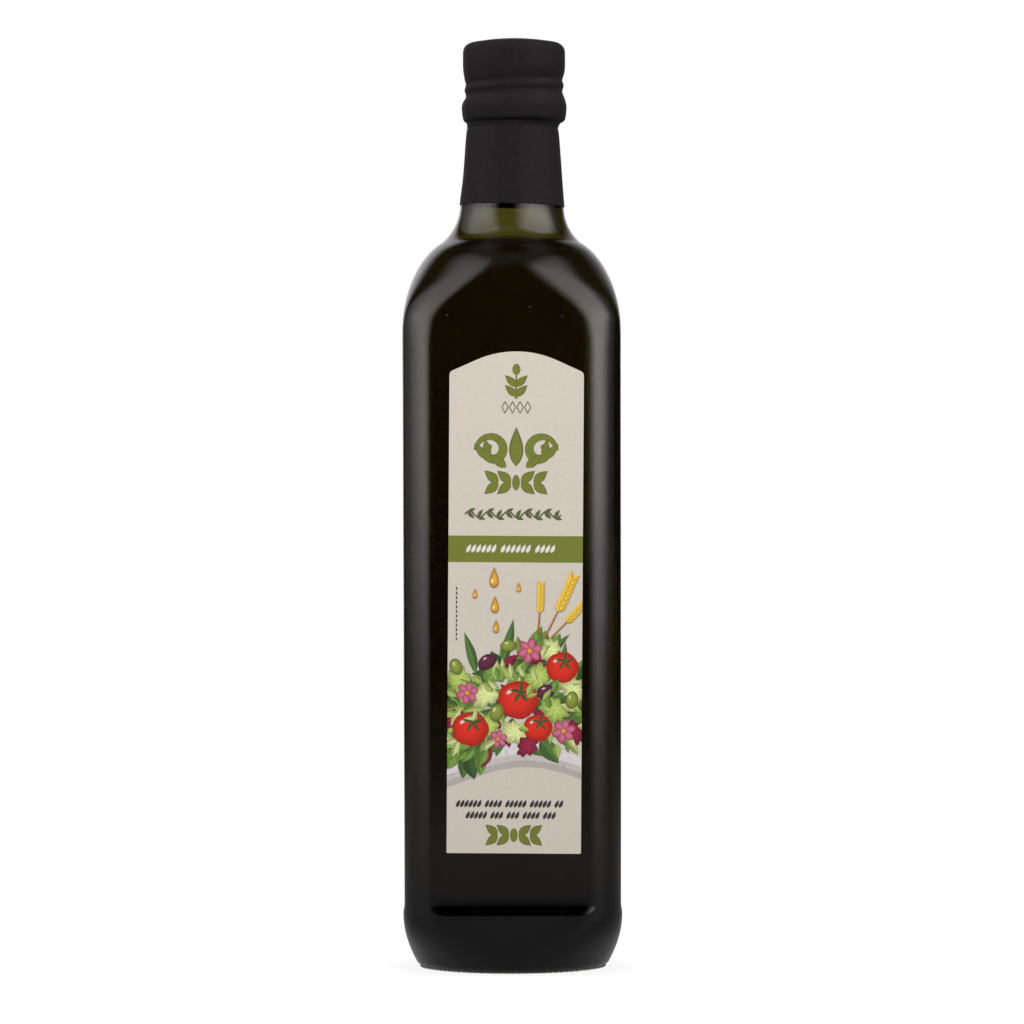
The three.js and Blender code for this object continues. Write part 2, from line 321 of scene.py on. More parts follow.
def lumps(name, places, size):
    """Small round lumps at the places, all in one piece, with size as their half widths."""
    shape = bmesh.new()
    for place in places:
        where = Matrix.Translation(place) @ Matrix.Diagonal((*size, 1))
        bmesh.ops.create_icosphere(shape, subdivisions=2, radius=1, matrix=where)
    mesh = bpy.data.meshes.new(name)
    shape.to_mesh(mesh)
    shape.free()
    mesh.shade_smooth()
    return in_scene(name, mesh)


def wear(obj, material, slot, *replaced):
    """Gives a piece its material, and lets it ride on the bottle's one body. The slot is not used."""
    obj.data.materials.append(material)
    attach(obj, "root")
    if replaced:
        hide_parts(*replaced)


# The glass bottle and the oil

def level(z, half, corner, crease=0.0):
    """half reaches to the corner arcs' tangent, crease is their angle with the panels."""
    return {"z": z, "half": half, "corner": corner, "crease": crease}


def round_level(z, radius):
    return level(z, radius, radius)


def section(here, sides):
    """A level's ring: a square with round corners, cut flat where the panels lie deeper."""
    angle = whole_turn(sides)
    turned = np.abs((angle + math.pi / 4) % (math.pi / 2) - math.pi / 4)
    cos = np.cos(turned)
    sin = np.sin(turned)
    centre = here["half"] - here["corner"]
    inside = np.maximum(here["corner"] ** 2 - (centre * (cos - sin)) ** 2, 0)
    on_flat = here["half"] * sin < centre * cos
    radius = np.where(on_flat, here["half"] / cos, centre * (cos + sin) + np.sqrt(inside))
    depth = here["corner"] * (1 - math.cos(here["crease"]))
    if depth > 0:
        face = (here["half"] - depth) / cos
        soft = min(CREASE_SOFT, depth / 5)
        gap = np.abs(radius - face)
        radius = np.minimum(radius, face) - soft * np.log1p(np.exp(-gap / soft))
    height = np.full(sides, here["z"])
    return columns(radius * np.cos(angle), radius * np.sin(angle), height)


def body_half(z):
    return BODY_HALF - BODY_TAPER * (1 - z / SHOULDER_FOOT)


def panel_face(z):
    return body_half(z) - CORNER * (1 - math.cos(PANEL_CREASE))


def heel_level(z, half):
    """The heel goes from the nearly round bearing ring to the square of the body."""
    return level(z, half, blend(half, CORNER, ease(z, HEEL_ROUND, BAND_TOP)))


def heel_levels():
    levels = []
    for angle in np.linspace(0, math.pi / 2 - HEEL_LEAN, 16)[:-1]:
        z = HEEL_RADIUS * (1 - math.cos(angle))
        levels.append(heel_level(z, RING_OUTER + HEEL_RADIUS * math.sin(angle)))
    foot = HEEL_RADIUS * (1 - math.sin(HEEL_LEAN))
    foot_half = RING_OUTER + HEEL_RADIUS * math.cos(HEEL_LEAN)
    for angle in np.linspace(HEEL_LEAN, 0, 26):
        out = (math.cos(angle) - math.cos(HEEL_LEAN)) / (1 - math.cos(HEEL_LEAN))
        up = 1 - math.sin(angle) / math.sin(HEEL_LEAN)
        half = blend(foot_half, body_half(BAND_TOP), out)
        levels.append(heel_level(blend(foot, BAND_TOP, up), half))
    return levels


def panel_levels():
    """The step in from the base band, then the straight panels up to the shoulder."""
    levels = []
    for z in np.linspace(BAND_TOP, PANEL_FOOT, 13)[1:]:
        crease = PANEL_CREASE * math.sqrt(ease(z, BAND_TOP, PANEL_FOOT))
        levels.append(level(z, body_half(z), CORNER, crease))
    for z in np.linspace(PANEL_FOOT, SHOULDER_FOOT, 60)[1:-1]:
        levels.append(level(z, body_half(z), CORNER, PANEL_CREASE))
    return levels


def shoulder_levels(steps):
    """The panels lean in while the corners round off, so each panel ends in an arch."""
    foot = np.array([BODY_HALF, SHOULDER_FOOT])
    foot_pull = foot + [0, SHOULDER_PULL]
    top = np.array([FLARE_HALF, FLARE_FOOT])
    top_pull = top + [FLARE_PULL, -FLARE_PULL / math.tan(FLARE_LEAN)]
    levels = []
    for t in np.linspace(0, 1, steps + 1):
        low_half = foot * (1 - t) ** 3 + foot_pull * 3 * t * (1 - t) ** 2
        half, z = low_half + top_pull * 3 * t * t * (1 - t) + top * t ** 3
        corner = blend(CORNER, half, ease(z, ARCH_FOOT, ARCH_TOP))
        panel_end = ease(z, SHOULDER_FOOT, blend(ARCH_FOOT, ARCH_TOP, 0.5))
        levels.append(level(z, half, corner, PANEL_CREASE * (1 - panel_end)))
    return levels


def flare_levels(steps):
    """The hollow arc from the shoulder up into the neck."""
    levels = []
    for z in np.linspace(FLARE_FOOT, FLARE_TOP, steps + 1)[1:]:
        hollow = FLARE_RADIUS - math.sqrt(FLARE_RADIUS ** 2 - (FLARE_TOP - z) ** 2)
        levels.append(round_level(z, NECK_RADIUS + hollow))
    return levels


def neck_shift(z):
    """The neck stands a little to one side of the body's axis, more towards its top."""
    return NECK_SHIFT * ease(z, FLARE_FOOT, NECK_SHIFT_TOP)


def cavity_levels(gap):
    """The inside of the glass up to the neck: the outside moved in by the glass and gap."""
    outside = shoulder_levels(40) + flare_levels(16)
    walls = []
    for index, here in enumerate(outside):
        before = outside[max(index - 1, 0)]
        after = outside[min(index + 1, len(outside) - 1)]
        run = np.array([after["half"] - before["half"], after["z"] - before["z"]])
        run = run / np.hypot(*run)
        depth = gap + blend(WALL, NECK_WALL, index / (len(outside) - 1))
        half = here["half"] - depth * run[1]
        corner = half - (here["half"] - here["corner"])
        walls.append(level(here["z"] + depth * run[0], half, corner, here["crease"]))
    half = walls[0]["half"] - BODY_TAPER
    centre = BODY_HALF - CORNER
    floor = []
    for angle in np.linspace(0, math.pi / 2, 12):
        z = FLOOR + gap + FLOOR_ROUND * (1 - math.cos(angle))
        edge = half - FLOOR_ROUND * (1 - math.sin(angle))
        floor.append(level(z, edge, blend(edge, half - centre, ease(z, 0, FLOOR_SQUARE))))
    for z in np.linspace(FLOOR + FLOOR_ROUND, FLOOR_SQUARE, 10)[1:]:
        floor.append(level(z, half, blend(half, half - centre, ease(z, 0, FLOOR_SQUARE))))
    return floor + walls


def finish_levels():
    """The neck under the capsule, the rim of the mouth and the bore."""
    levels = [round_level(NECK_TOP, FINISH_RADIUS)]
    for centre, start in ((FINISH_RADIUS - RIM_ROUND, 0), (BORE_RADIUS + RIM_ROUND, math.pi / 2)):
        for angle in np.linspace(start, start + math.pi / 2, 6):
            z = MOUTH - RIM_ROUND * (1 - math.sin(angle))
            levels.append(round_level(z, centre + RIM_ROUND * math.cos(angle)))
    levels.append(round_level(NECK_TOP, BORE_RADIUS))
    return levels


def underside_levels():
    """The shallow hollow inside the bearing ring."""
    shares = ((1, 0.5), (0.9, 0.7), (0.5, 0.88), (0.1, 0.98), (0, 1))
    return [round_level(HOLLOW_DEPTH * up, RING_INNER * out) for up, out in shares]


def glass_bottle():
    hollow = underside_levels()
    sides = heel_levels() + panel_levels() + shoulder_levels(SHOULDER_STEPS)
    outside = hollow + sides + flare_levels(36)
    levels = outside + finish_levels() + cavity_levels(0)[::-1]
    rings = [section(here, GLASS_SIDES) for here in levels]
    angle = whole_turn(GLASS_SIDES)
    for ring in rings[len(hollow):len(outside)]:
        height = ring[0, 2]
        wave = ripple(angle, height, seed=5, waves=9, turns=(1, 6))
        uneven = GLASS_WAVE * wave * ease(height, 0, BAND_TOP)
        ring[:, :2] *= (1 + (uneven - GLASS_INSET) / BODY_HALF)[:, None]
    for ring in rings:
        ring[:, 0] += neck_shift(ring[0, 2])
    wear(loft("bottle_glass", rings), glass_material(), "green_glass", "glass_bottle")


def heel_nubs():
    """A ring of small nubs on the bearing edge, just clear of the ground, in the bottle's own
    green glass."""
    half = RING_OUTER + HEEL_RADIUS * math.sin(NUB_ANGLE)
    ring = section(heel_level(HEEL_RADIUS * (1 - math.cos(NUB_ANGLE)), half), NUBS)
    nubs = lumps("heel_nubs", ring, NUB_SIZE)
    wear(nubs, bpy.data.materials["green_glass"], "green_glass")


def front_point(x, z):
    """The place on the front of the glass at x and about z."""
    levels = panel_levels() + shoulder_levels(SHOULDER_STEPS)
    nearest = min(levels, key=lambda here: abs(here["z"] - z))
    ring = section(nearest, BUBBLE_SEARCH_SIDES)
    front = ring[ring[:, 1] < 0]
    return front[np.abs(front[:, 0] - x).argmin()]


def painted_glint_specks():
    """A few pinhead bubbles in the skin of the glass, drawn as opaque pale specks: painted glints."""
    places = [front_point(x * MM, z * MM) for x, z in BUBBLES]
    wear(lumps("painted_glint_specks", places, BUBBLE_SIZE), glint_speck_material(), "green_glass")


def oil_fill():
    """The oil up to its level, with a surface that curves up to the glass all round."""
    levels = [here for here in cavity_levels(-OIL_OVERLAP) if here["z"] < OIL_LEVEL - 0.2 * MM]
    rim = dict(levels[-1], z=OIL_LEVEL - 0.1 * MM)
    rings = [section(here, OIL_SIDES) for here in levels]
    edge = section(rim, OIL_SIDES)
    width = edge[0, 0]
    for inward in MENISCUS_RINGS:
        ring = edge * (1 - inward * MM / width)
        ring[:, 2] = OIL_LEVEL - MENISCUS * (1 - math.exp(-inward * MM / MENISCUS_REACH))
        rings.append(ring)
    wear(loft("oil_fill", rings), oil_material(), "olive_oil", "oil")


# The capsule

def spline(points, steps):
    """A smooth curve through the points, with its end points twice over."""
    points = np.array([points[0], *points, points[-1]])
    curve = []
    for first, start, end, last in zip(points, points[1:], points[2:], points[3:]):
        bend = 2 * first - 5 * start + 4 * end - last
        twist = 3 * (start - end) + last - first
        for t in np.arange(steps) / steps:
            curve.append(start + ((end - first) * t + bend * t ** 2 + twist * t ** 3) / 2)
    return np.array([*curve, points[-1]])


def crown_outline():
    edge_half = CAP_RADIUS - CROWN_EDGE
    share = np.linspace(0.03, 1, 30)
    dome = columns(edge_half * share, CAPSULE_TOP - CROWN_DROP * share ** 2)
    angle = np.linspace(0, math.pi / 2, 14)[1:-1]
    out = edge_half + CROWN_EDGE * np.sin(angle)
    up = CAPSULE_TOP - CROWN_DROP - CROWN_EDGE * (1 - np.cos(angle))
    return np.concatenate([dome, columns(out, up)])


def side_outline():
    """The cap's wall, a bead between two grooves, the cap's bulging edge, and the skirt."""
    wall = spline([
        (CAP_RADIUS, CAPSULE_TOP - CROWN_DROP - CROWN_EDGE),
        (CAP_RADIUS, BEAD + 6.3 * MM),
        (blend(GROOVE_RADIUS, CAP_RADIUS, 0.55), BEAD + 3.6 * MM),
        (GROOVE_RADIUS, BEAD + 1.7 * MM),
        (BEAD_RADIUS, BEAD),
        (GROOVE_RADIUS, BEAD - 2 * MM),
        (blend(GROOVE_RADIUS, BULGE_RADIUS, 0.7), BULGE + 2.1 * MM),
        (BULGE_RADIUS, BULGE),
        (blend(WAIST_RADIUS, BULGE_RADIUS, 0.78), BULGE - 3.6 * MM),
        (blend(WAIST_RADIUS, BULGE_RADIUS, 0.2), BULGE - 4.8 * MM),
        (WAIST_RADIUS, WAIST),
    ], 10)
    skirt = spline([
        (WAIST_RADIUS, WAIST),
        (blend(WAIST_RADIUS, SKIRT_RADIUS, 0.2), blend(WAIST, SKIRT_EDGE, 0.13)),
        (blend(WAIST_RADIUS, SKIRT_RADIUS, 0.62), blend(WAIST, SKIRT_EDGE, 0.65)),
        (SKIRT_RADIUS, SKIRT_EDGE),
    ], 24)
    return np.concatenate([wall[:-1], skirt])


def capsule():
    inside = np.array([
        (SKIRT_RADIUS - FILM, SKIRT_EDGE),
        (NECK_RADIUS + FILM, FLARE_TOP + MM),
        (FINISH_RADIUS + 3 * FILM, NECK_TOP + MM),
        (FINISH_RADIUS + 3 * FILM, MOUTH + 3 * FILM),
        (MM, MOUTH + 3 * FILM),
    ])
    outline = np.concatenate([crown_outline(), side_outline(), inside])
    angle = whole_turn(CAPSULE_SIDES)
    rings = []
    for radius, z in outline[::-1]:
        outer = radius > FINISH_RADIUS + 4 * FILM or z > MOUTH + 4 * FILM
        shift = neck_shift(z) + CAP_SHIFT * outer * ease(z, WAIST, WAIST + 3 * MM)
        tilt = BEAD_TILT * outer * (1 - ease(abs(z - BEAD), 2 * MM, 6 * MM))
        edge = SKIRT_TILT * (1 - ease(z, SKIRT_EDGE, BULGE))
        film = FILM_WAVE * ripple(angle, z, seed=3, waves=12, turns=(2, 9))
        creases = FILM_CREASE * ripple(angle, z * 0.2, seed=8, waves=10, turns=(20, 60))
        creases = creases * (1 - ease(z, WAIST, BULGE))
        out = radius + (film + creases) * min(radius / CAP_RADIUS, 1) ** 3 * outer
        up = z + (tilt - edge) * np.cos(angle)
        rings.append(columns(out * np.cos(angle) + shift, out * np.sin(angle), up))
    wear(loft("shrink_capsule", rings), capsule_material(), "black_film", "capsule")


def painted_vent_shade():
    """The pinhole in the film near the crown, as a near-black speck: painted shade where the hole is.
    """
    place = (CAP_SHIFT + NECK_SHIFT - VENT_OFFSET, -CAP_RADIUS, VENT_HEIGHT)
    wear(lumps("painted_vent_shade", [place], VENT_SIZE), vent_shade_material(), "black_film")


# The label

def label_outline():
    """The paper's outline: straight sides, small round corners, an arch between two slopes."""
    half = LABEL_WIDTH / 2
    arch_angle = math.asin(LABEL_ARCH_HALF / LABEL_ARCH_RADIUS)
    slope = math.tan(arch_angle)
    drop = LABEL_ARCH_RADIUS * (1 - math.cos(arch_angle))
    eaves = LABEL_HEIGHT - drop - (half - LABEL_ROUND - LABEL_ARCH_HALF) * slope
    right = []
    for angle in np.linspace(-math.pi / 2, 0, 8):
        out = half - LABEL_FOOT_ROUND * (1 - math.cos(angle))
        right.append((out, LABEL_FOOT_ROUND * (1 + math.sin(angle))))
    for angle in np.linspace(0, math.pi / 2 - arch_angle, 8):
        inward = 1 - math.cos(angle)
        down = 1 + slope - math.sin(angle) - slope * inward
        right.append((half - LABEL_ROUND * inward, eaves - LABEL_ROUND * down))
    for angle in np.linspace(arch_angle, 0, 12):
        up = LABEL_HEIGHT - LABEL_ARCH_RADIUS * (1 - math.cos(angle))
        right.append((LABEL_ARCH_RADIUS * math.sin(angle), up))
    left = [(-out, up) for out, up in right[-2::-1]]
    return right + left


def on_label(points, lift):
    """Places flat points of the label on the front panel, lift away from the glass."""
    points = np.array(points)
    flat = columns(points[:, 0], np.full(len(points), -lift), points[:, 1])
    lean_back = math.atan(BODY_TAPER / SHOULDER_FOOT)
    turn = Matrix.Rotation(LABEL_LEAN, 3, "Y") @ Matrix.Rotation(lean_back, 3, "X")
    foot = np.array([LABEL_OFFSET, -panel_face(LABEL_FOOT), LABEL_FOOT])
    return flat @ np.array(turn).T + foot


def label_paper():
    outline = label_outline()
    count = len(outline)
    back = on_label(outline, LABEL_GLUE)
    front = on_label(outline, LABEL_GLUE + LABEL_PAPER)
    points = np.concatenate([back, front])
    faces = [tuple(range(count))[::-1], tuple(range(count, 2 * count))]
    for here in range(count):
        ahead = (here + 1) % count
        faces.append((here, ahead, count + ahead, count + here))
    paper = mesh_object("label_paper", points, faces)
    paper.data.shade_flat()
    wear(paper, paper_material(), "label_paper", "front_label")


# The label's print: flat shapes of ink in the label's own millimetres, from its foot's middle

class Print:
    """Collects shapes of ink. Each one lies a hair above the ones before it, unless it says
    that it lies beside the last one."""

    def __init__(self):
        self.points = []
        self.colours = []
        self.faces = []
        self.lift = LABEL_GLUE + LABEL_PAPER + INK_GAP

    def lay(self, points, colours, faces, beside):
        first = len(self.points)
        self.lift += 0 if beside else INK_LAYER
        self.points.extend(on_label(np.array(points) * MM, self.lift))
        self.colours.extend((*colour, 1) for colour in colours)
        self.faces.extend(tuple(first + corner for corner in face) for face in faces)

    def patch(self, outline, rim, heart=None, lit=(0, 0), beside=False):
        """A filled outline, cut at the label's sides. Its colour goes from rim to heart, the
        colour of its middle, which lit moves aside as a share of the way to the outline."""
        heart = rim if heart is None else heart
        edge = np.array(outline)
        edge[:, 0] = np.clip(edge[:, 0], -PRINT_HALF, PRINT_HALF)
        middle = edge.mean(axis=0)
        middle = middle + np.array(lit) * np.abs(edge - middle).max(axis=0)
        half_way = blend(edge, middle, 0.4)
        count = len(edge)
        faces = []
        for here in range(count):
            ahead = (here + 1) % count
            faces.append((here, ahead, count + ahead, count + here))
            faces.append((count + here, count + ahead, 2 * count))
        between = tuple(blend(np.array(rim), np.array(heart), 0.65))
        colours = [rim] * count + [between] * count + [heart]
        self.lay([*edge, *half_way, middle], colours, faces, beside)

    def stroke(self, path, width, colour, beside=False):
        """A line of ink along a path, width wide or as wide as width says at each point."""
        path = np.array(path)
        run = np.gradient(path, axis=0)
        side = columns(-run[:, 1], run[:, 0]) / np.hypot(*run.T)[:, None]
        side = side * np.broadcast_to(width, len(path))[:, None] / 2
        edges = np.concatenate([path + side, path - side])
        edges[:, 0] = np.clip(edges[:, 0], -PRINT_HALF, PRINT_HALF)
        count = len(path)
        faces = [(here, count + here, count + here + 1, here + 1) for here in range(count - 1)]
        self.lay(edges, [colour] * 2 * count, faces, beside)


def placed(points, at, turn=0.0):
    """Points round the origin, turned and then moved to their place on the label."""
    points = np.array(points)
    x = points[:, 0] * math.cos(turn) - points[:, 1] * math.sin(turn)
    y = points[:, 0] * math.sin(turn) + points[:, 1] * math.cos(turn)
    return columns(x + at[0], y + at[1])


def oval(half_width, half_height, steps=28):
    angle = whole_turn(steps)
    return columns(half_width * np.cos(angle), half_height * np.sin(angle))


def shade(colour, share):
    """A colour made darker, or lighter where share is above 1."""
    return tuple(min(channel * share, 1) for channel in colour)


def leaf_shape(length, slim, bend):
    """A leaf's spine, and how far its edges lie from it."""
    along = np.linspace(0, 1, LEAF_STEPS)
    spine = columns(along * length, bend * length * along ** 2)
    side = columns(0 * along, slim * length / 2 * np.sin(math.pi * along ** 0.8))
    return spine, side


def leaf(ink, at, turn, length, colour, slim=0.32, bend=0.12):
    """Two halves, one of them in shade, with a thin rib between."""
    spine, side = leaf_shape(length, slim, bend)
    bright = placed([*(spine + side), *spine[-2:0:-1]], at, turn)
    shaded = placed([*(spine - side), *spine[-2:0:-1]], at, turn)
    ink.patch(bright, colour, shade(colour, 1.35))
    ink.patch(shaded, shade(colour, 0.6), shade(colour, 0.85), beside=True)
    rib = length * np.linspace(0.035, 0.01, LEAF_STEPS)
    ink.stroke(placed(spine, at, turn), rib, shade(colour, 1.7))


def flat_leaf(ink, at, turn, length, colour, slim=0.36, bend=0.1, beside=False):
    spine, side = leaf_shape(length, slim, bend)
    ink.patch(placed([*(spine + side), *(spine - side)[-2:0:-1]], at, turn), colour, beside=beside)


def olive_fruit(ink, at, turn, length, colour):
    body = placed(oval(length / 2, length * 0.37), at, turn)
    ink.patch(body, shade(colour, 0.45), shade(colour, 1.3), (-0.25, 0.3))
    lit = (at[0] - length * 0.12, at[1] + length * 0.17)
    gleam = placed(oval(length * 0.13, length * 0.06, 12), lit, turn)
    ink.patch(gleam, shade(colour, 2.2), PAPER_WHITE)


def tomato(ink, at, radius):
    """A round fruit with a gleam and a star of small leaves on top."""
    angle = whole_turn(40)
    lobes = radius * (1 + 0.025 * np.cos(5 * angle))
    body = columns(lobes * np.cos(angle), lobes * 0.93 * np.sin(angle))
    ink.patch(placed(body, at), shade(TOMATO_RED, 0.55), shade(TOMATO_RED, 1.15), (-0.2, 0.2))
    lit = (at[0] - radius * 0.42, at[1] + radius * 0.4)
    gleam = placed(oval(radius * 0.2, radius * 0.1), lit, 0.7)
    ink.patch(gleam, GLEAM_RED, PAPER_WHITE)
    crown = (at[0] + radius * 0.15, at[1] + radius * 0.35)
    for turn in np.linspace(0.2, math.tau + 0.2, 6)[:-1]:
        leaf(ink, crown, turn, radius * 0.62, LEAF_DARK, 0.3, 0.2)


def frill(ink, at, radius, colour):
    """A ruffled leaf seen face on, pale in the middle."""
    angle = whole_turn(54)
    edge = radius * (1 + 0.12 * np.sin(9 * angle + at[0]) + 0.1 * np.sin(4 * angle + at[1]))
    outline = columns(edge * np.cos(angle), edge * 0.75 * np.sin(angle))
    ink.patch(placed(outline, at, at[0]), shade(colour, 0.7), shade(colour, 1.6), (0.2, 0.1))
    along = np.linspace(0.15, 0.8, 6) * radius
    vein = columns(along, 0.04 * radius * np.sin(np.arange(6)))
    width = radius * np.linspace(0.07, 0.02, 6)
    for turn in np.linspace(0, math.tau, 8)[:-1]:
        ink.stroke(placed(vein, at, turn + at[0]), width, shade(colour, 1.9), beside=turn > 0)


def blossom(ink, at, radius):
    """Six petals round a golden middle."""
    for turn in np.linspace(0.3, math.tau + 0.3, 7)[:-1]:
        middle = (at[0] + radius * 0.55 * math.cos(turn), at[1] + radius * 0.55 * math.sin(turn))
        petal = placed(oval(radius * 0.5, radius * 0.33, 18), middle, turn)
        ink.patch(petal, MAGENTA, PETAL_PALE, (0.3, 0))
    ink.patch(placed(oval(radius * 0.22, radius * 0.22, 14), at), GOLD_DARK, GOLD)


def drop(ink, at, length):
    """A golden drop, pointed at its top."""
    angle = np.linspace(0, math.tau, 29)[:-1]
    width = 0.32 * np.sin(angle) * np.sin(angle / 2) ** 1.6
    outline = columns(length * width, length * 0.5 * np.cos(angle))
    ink.patch(placed(outline, at), GOLD_DARK, GOLD, (0, -0.3))
    lit = (at[0] - length * 0.1, at[1] - length * 0.2)
    ink.patch(placed(oval(length * 0.06, length * 0.12, 12), lit), shade(GOLD, 1.4), PAPER_WHITE)


def scroll(size, turns=1.15):
    """A spiral's path that winds in from (size, 0) round the origin."""
    angle = np.linspace(0, turns * math.tau, SCROLL_STEPS)
    radius = size * (1 - 0.72 * angle / angle[-1])
    return columns(radius * np.cos(angle), radius * np.sin(angle))


def bold_scroll(ink, at, size, mirrored):
    """A thick spiral with a darker edge, thin at its start and round at its tip."""
    path = placed(scroll(size) * [-1 if mirrored else 1, 1], at)
    width = size * 0.5 * np.sin(np.linspace(0.35, math.pi - 0.6, SCROLL_STEPS))
    ink.stroke(path, width + 0.35, GREEN_EDGE)
    ink.stroke(path, width, GREEN)
    ink.patch(placed(oval(size * 0.17, size * 0.17, 16), path[-1]), GREEN)


def bold_leaf(ink, at, turn, length, slim=0.42, bend=0.1):
    flat_leaf(ink, at, turn, length, GREEN_EDGE, slim + 0.06, bend)
    flat_leaf(ink, at, turn, length * 0.95, GREEN, slim, bend)


def emblem(ink):
    """An upright twig with two pairs of leaves and a fruit at its tip."""
    stem = columns(np.full(LEAF_STEPS, -0.1), np.linspace(139, 147, LEAF_STEPS))
    ink.stroke(stem, np.linspace(0.9, 0.5, LEAF_STEPS), GREEN)
    for foot in (139.6, 142.6):
        bold_leaf(ink, (-0.1, foot), math.radians(52), 5, 0.4, -0.1)
        bold_leaf(ink, (-0.1, foot), math.radians(128), 5, 0.4, 0.1)
    ink.patch(placed(oval(1.25, 1.75), (-0.1, 148)), GREEN)


def lozenges(ink, places, level, half_width, half_height, line, colour):
    """A row of diamonds drawn in outline."""
    for place in places:
        corners = [(half_width, 0), (0, half_height), (-half_width, 0), (0, -half_height)]
        for start, end in zip(corners, corners[1:] + corners[:1]):
            ink.stroke(placed([start, end], (place, level)), line, colour, beside=True)


def palmette(ink, level, height, half):
    """A bold ornament: an upright leaf, a scroll on each side and leaves under and beyond them."""
    size = height * 0.4
    bold_leaf(ink, (0, level - height * 0.48), math.pi / 2, height * 0.98, 0.3, 0)
    for side in (-1, 1):
        reach = size * 1.5
        bold_scroll(ink, (side * reach, level - height * 0.08), size, side < 0)
        lean = math.pi / 2 - side * 0.9
        bold_leaf(ink, (side * (reach - size * 0.9), level - height * 0.5), lean, height * 0.5, 0.4, 0)
        for lean in (0.15, 0.75):
            foot = (side * (half - height * 0.36), level - height * 0.3)
            bold_leaf(ink, foot, math.pi / 2 - side * lean, height * 0.52, 0.34, 0)


def laurel(ink, level, half, pairs):
    """A bold ornament: a fruit in the middle and pairs of leaves that point outwards."""
    step = (half - 1.6) / (pairs + 0.35)
    ink.patch(placed(oval(1.2, step * 0.62), (0, level)), GREEN)
    for side in (-1, 1):
        for pair in range(pairs):
            foot = (side * (1.5 + pair * step), level)
            for lean in (40, -40):
                turn = math.pi / 2 - side * math.radians(90 - lean)
                bold_leaf(ink, foot, turn, step * 1.45, 0.46, 0)


def vine(ink, level, left, right, rise, leaf_length, waves, colour, line):
    """A wavy stem with a leaf on each bend."""
    along = np.linspace(left, right, 24 * waves)
    phase = (along - left) / (right - left) * waves * math.tau
    ink.stroke(columns(along, level + rise * np.sin(phase)), line, colour)
    for bend in range(2 * waves):
        place = blend(left, right, (bend + 0.3) / (2 * waves))
        side = -1 if bend % 2 else 1
        start = (place, level + side * rise * 0.8)
        flat_leaf(ink, start, side * math.radians(-50), leaf_length, colour, 0.42)
        flat_leaf(ink, start, side * math.radians(20), leaf_length * 0.9, colour, 0.42)


def wheat_ear(ink, foot, turn, length):
    """A golden stem with pairs of grains along its upper half."""
    along = np.linspace(0, 1, LEAF_STEPS)
    stem = columns(length * along, 0.06 * length * along ** 2)
    ink.stroke(placed(stem, foot, turn), np.linspace(0.5, 0.3, LEAF_STEPS), GOLD_DARK)
    for share in np.linspace(0.45, 0.95, 7):
        place = placed([(length * share, 0.06 * length * share ** 2)], foot, turn)[0]
        for side in (-1, 1):
            leaf(ink, place, turn + side * 0.45, length * 0.17, GOLD, 0.42, 0)


def leaf_line(ink, level, half, step, length, colour):
    """A line of small slanted leaves, in groups of different lengths with gaps between."""
    draw = random.Random(round(level * 10))
    place = -half
    while place < half - length:
        for _ in range(draw.randint(3, 6)):
            if place < half - length:
                foot = (place, level - length * 0.4)
                flat_leaf(ink, foot, math.radians(58), length, colour, 0.4, beside=place > -half)
                place += step
        place += step * 0.8


def garland_foot(u):
    """The garland's lower edge at u across the label."""
    return 27.5 + 5.5 * math.cos((u - 3) / 13)


def garland_top(u):
    """The garland's upper edge at u across the label."""
    return 58 + 6.5 * math.sin((u + 6) / 6.5)


def foliage(ink, count, seed, colours, longest):
    """Loose leaves all over the garland, the upper ones behind."""
    draw = random.Random(seed)
    places = []
    for _ in range(count):
        u = draw.uniform(-PRINT_HALF, PRINT_HALF)
        places.append((draw.random() ** 0.8, u))
    for share, u in sorted(places, reverse=True):
        v = blend(garland_foot(u), garland_top(u) - 2, share)
        out = math.atan2(v - 42, u * 1.4) + draw.gauss(0, 0.7)
        length = draw.uniform(0.55, 1) * longest
        colour = draw.choice(colours)
        slim = draw.uniform(0.36, 0.6)
        leaf(ink, (u, v), out, length, colour, slim, draw.uniform(-0.2, 0.2))


def swoosh(ink):
    """A pale ribbon under the garland, thin at its ends, with a soft shadow below it."""
    along = np.linspace(-PRINT_HALF - 1, PRINT_HALF + 1, SWOOSH_STEPS)
    rise = np.array([garland_foot(u) for u in along])
    swell = 1 + 0.8 * np.sin(np.linspace(0.4, math.pi - 0.2, SWOOSH_STEPS))
    for down, width, colour in SWOOSH_BANDS:
        ink.stroke(columns(along, rise - down), width * swell, colour)


def picture(ink):
    """The garland on its ribbon, from the back to the front, then drops and wheat."""
    swoosh(ink)
    foliage(ink, 120, 11, (LEAF_DARK, LEAF_DEEP, LEAF_MID), 10)
    for at, turn, length in LONG_LEAVES:
        leaf(ink, at, math.radians(turn), length, LEAF_DEEP, 0.22, 0.1)
    foliage(ink, 60, 4, (LEAF_MID, LEAF_LIGHT, LEAF_WINE), 7)
    for at, radius, colour in FRILLS:
        frill(ink, at, radius, colour)
    foliage(ink, 40, 8, (LEAF_MID, LEAF_LIGHT, LEAF_PALE), 6)
    for at, radius in BLOSSOMS:
        blossom(ink, at, radius)
    for at, radius in TOMATOES:
        tomato(ink, at, radius)
    for at, turn, length, colour in OLIVES:
        olive_fruit(ink, at, math.radians(turn), length, colour)
    foliage(ink, 18, 23, (LEAF_LIGHT, LEAF_PALE, LEAF_MID), 4.6)
    for at, length in DROPS:
        drop(ink, at, length)
    for foot, turn, length in WHEAT_EARS:
        wheat_ear(ink, foot, math.radians(turn), length)


